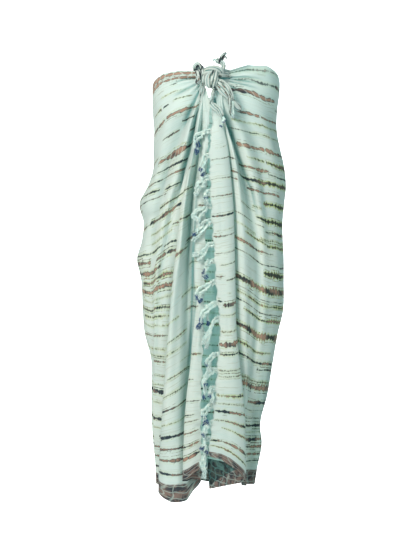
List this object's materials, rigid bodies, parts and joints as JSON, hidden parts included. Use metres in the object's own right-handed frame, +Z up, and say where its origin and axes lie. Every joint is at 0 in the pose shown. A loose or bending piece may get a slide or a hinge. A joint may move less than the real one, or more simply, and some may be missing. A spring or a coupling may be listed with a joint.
{
  "type": "sarong",
  "caption": "Wrap sarong of thin rayon in pale aqua with brown tie-dye stripes and a dark hem border, wrapped once round, knotted at the bust, its fringed ends meeting in front.",
  "frame": {"origin": "middle of the opening inside the top edge, level with the edge at the side, where the wearer's chest holds it", "axes": "+Z up along the garment, -Y out of the front with the knot, +X towards the wearer's left"},
  "size_m": [0.3793, 0.2577, 1.1065],
  "materials": {
    "cloth": "thin soft rayon, pale aqua with brown and dark tie-dye stripes",
    "hem_border": "the same rayon where the hem border is dyed brown-grey",
    "fringe": "loose rayon yarn, pale aqua with navy ends"
  },
  "bodies": {
    "root": {"left_front": "cloth", "right_front": "cloth", "back": "cloth", "corner_flap": "hem_border", "knot_wrap": "cloth", "knot_drop": "cloth", "tail_upper_left": "cloth", "tail_upper_right": "cloth", "tail_lower_right": "cloth", "tail_centre": "cloth", "fringe_right": "fringe", "fringe_left": "fringe"}
  },
  "joints": []
}
